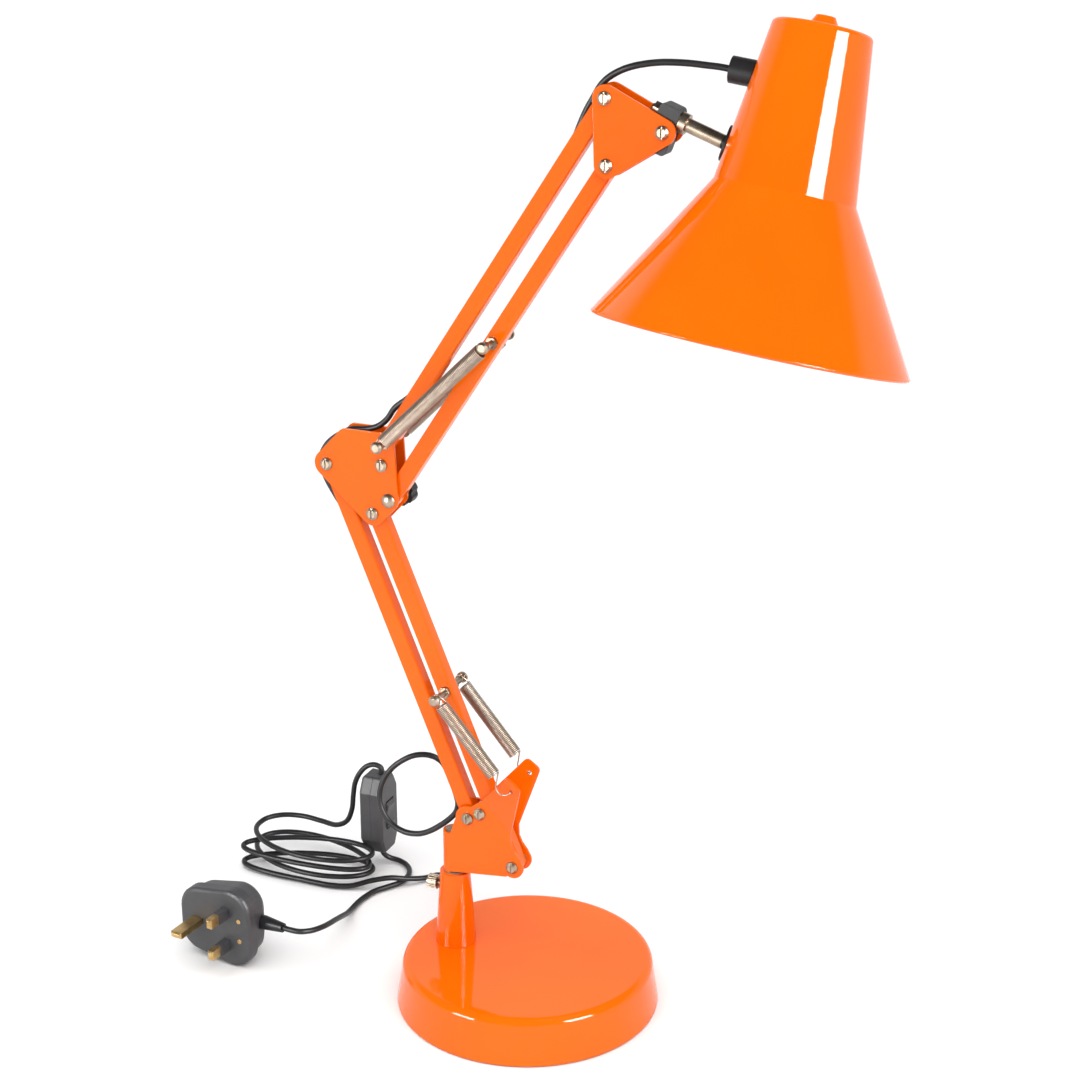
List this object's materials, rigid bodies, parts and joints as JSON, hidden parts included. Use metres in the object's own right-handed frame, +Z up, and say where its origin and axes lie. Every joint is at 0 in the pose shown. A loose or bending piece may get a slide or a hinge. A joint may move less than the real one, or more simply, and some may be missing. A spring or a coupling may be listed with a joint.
{
  "type": "desk_lamp",
  "caption": "Orange balanced-arm desk lamp: weighted round base, swivel bracket, sprung parallel-bar arms, tilting cone shade, black mains lead with inline switch and plug.",
  "frame": {"origin": "On the table plane, under the centre of the round base.", "axes": "+Z up, +X to the front (the side the arm reaches over), +Y to the left of a user facing +X."},
  "size_m": [0.4642, 0.2319, 0.5916],
  "materials": {
    "orange_paint": "satin",
    "plated_steel": "satin",
    "spring_steel": "satin",
    "black_plastic": "matte",
    "black_moulding": "satin",
    "black_cord": "satin",
    "nylon": "matte",
    "cast_iron": "matte",
    "felt": "matte",
    "brass": "satin",
    "bulb_glass": "frosted"
  },
  "bodies": {
    "base": {"base_shell": "orange_paint", "base_weight": "cast_iron", "base_pad": "felt", "post": "orange_paint", "post_bolt": "plated_steel", "cord_drop": "black_cord", "cord_bundle": "black_cord", "cord_plug_lead": "black_cord", "switch_back": "black_moulding", "switch_front": "black_moulding", "plug_face": "black_moulding", "plug_cover": "black_moulding", "plug_pins": "brass", "pin_sleeves": "black_moulding", "plug_sleeve": "black_cord"},
    "lock_screw": {"set_screw": "plated_steel"},
    "turret": {"spigot": "plated_steel", "turret_bracket": "orange_paint", "turret_screws": "plated_steel", "turret_washers": "nylon", "cord_loop": "black_cord"},
    "rear_lower": {"lower_rear_bar": "orange_paint", "cord_lower": "black_cord"},
    "front_lower": {"lower_front_bar": "orange_paint", "lower_spring_stud": "plated_steel", "lower_spring_near": "spring_steel", "lower_spring_far": "spring_steel"},
    "elbow": {"elbow_plate_near": "orange_paint", "elbow_plate_far": "orange_paint", "elbow_screws": "plated_steel", "spring_pin": "plated_steel", "friction_bolt": "plated_steel", "elbow_washers": "nylon", "cord_elbow_top": "black_cord", "cord_elbow_side": "black_cord"},
    "knob": {"friction_knob": "black_plastic"},
    "rear_upper": {"upper_rear_bar": "orange_paint", "cord_upper": "black_cord"},
    "front_upper": {"upper_front_bar": "orange_paint", "upper_spring_stud": "plated_steel", "upper_spring_near": "spring_steel", "upper_spring_far": "spring_steel"},
    "head": {"head_plate_near": "orange_paint", "head_plate_far": "orange_paint", "head_screws": "plated_steel", "head_washers": "nylon", "cord_head": "black_cord"},
    "knuckle": {"knuckle_block": "black_plastic"},
    "shade": {"stem": "plated_steel", "stem_nut": "plated_steel", "shade_washer": "black_plastic", "shade_nut": "plated_steel", "shade_shell": "orange_paint", "lampholder": "black_plastic", "holder_nut": "orange_paint", "bulb_cap": "brass", "bulb_glass": "bulb_glass", "cord_grip": "black_plastic", "cord_shade": "black_cord"},
    "rocker": {"switch_rocker": "black_moulding"}
  },
  "joints": [
    {"name": "swivel", "type": "hinge", "parent": "base", "child": "turret", "pos_m": [-0.048, 0, 0.076], "axis": [0, 0, 1], "range_deg": [-100, 100], "deforming": ["cord_drop", "cord_loop"]},
    {"name": "lock_screw_turn", "type": "hinge", "parent": "base", "child": "lock_screw", "pos_m": [-0.06, 0, 0.065], "axis": [-1, 0, 0], "range_deg": [-360, 360]},
    {"name": "lower_arm", "type": "hinge", "parent": "turret", "child": "rear_lower", "pos_m": [-0.036, 0, 0.116], "axis": [0, 1, 0], "range_deg": [-7, 60], "deforming": ["cord_loop"]},
    {"name": "lower_front", "type": "hinge", "parent": "turret", "child": "front_lower", "pos_m": [-0.007, 0, 0.089], "axis": [0, 1, 0], "range_deg": [-7, 60], "deforming": ["lower_spring_near", "lower_spring_far"]},
    {"name": "elbow_level", "type": "hinge", "parent": "rear_lower", "child": "elbow", "pos_m": [-0.12327, 0, 0.3288], "axis": [0, 1, 0], "range_deg": [-60, 7], "deforming": ["cord_elbow_side", "cord_elbow_top"]},
    {"name": "knob_turn", "type": "hinge", "parent": "elbow", "child": "knob", "pos_m": [-0.08377, 0.012, 0.3109], "axis": [0, 1, 0], "range_deg": [-180, 180]},
    {"name": "upper_arm", "type": "hinge", "parent": "elbow", "child": "rear_upper", "pos_m": [-0.08497, 0, 0.3458], "axis": [0, 1, 0], "range_deg": [-12, 70], "deforming": ["cord_elbow_top"]},
    {"name": "upper_front", "type": "hinge", "parent": "elbow", "child": "front_upper", "pos_m": [-0.08377, 0, 0.3109], "axis": [0, 1, 0], "range_deg": [-12, 70], "deforming": ["upper_spring_near", "upper_spring_far"]},
    {"name": "head_level", "type": "hinge", "parent": "rear_upper", "child": "head", "pos_m": [0.04734, 0, 0.54723], "axis": [0, 1, 0], "range_deg": [-70, 12], "deforming": ["cord_head"]},
    {"name": "head_tilt", "type": "hinge", "parent": "head", "child": "knuckle", "pos_m": [0.07934, 0, 0.53123], "axis": [0, 1, 0], "range_deg": [-60, 5], "deforming": ["cord_head", "cord_shade"]},
    {"name": "shade_roll", "type": "hinge", "parent": "knuckle", "child": "shade", "pos_m": [0.08204, 0, 0.53822], "axis": [0.933, 0, -0.36], "range_deg": [-45, 45], "deforming": ["cord_shade"]},
    {"name": "rocker_press", "type": "hinge", "parent": "base", "child": "rocker", "pos_m": [-0.154, 0.1165, 0.04], "axis": [0, 1, 0], "range_deg": [-6, 6]}
  ],
  "couplings": [
    {"joint": "lower_front", "follows": "lower_arm", "ratio": 1},
    {"joint": "elbow_level", "follows": "lower_arm", "ratio": -1},
    {"joint": "upper_front", "follows": "upper_arm", "ratio": 1},
    {"joint": "head_level", "follows": "upper_arm", "ratio": -1}
  ]
}
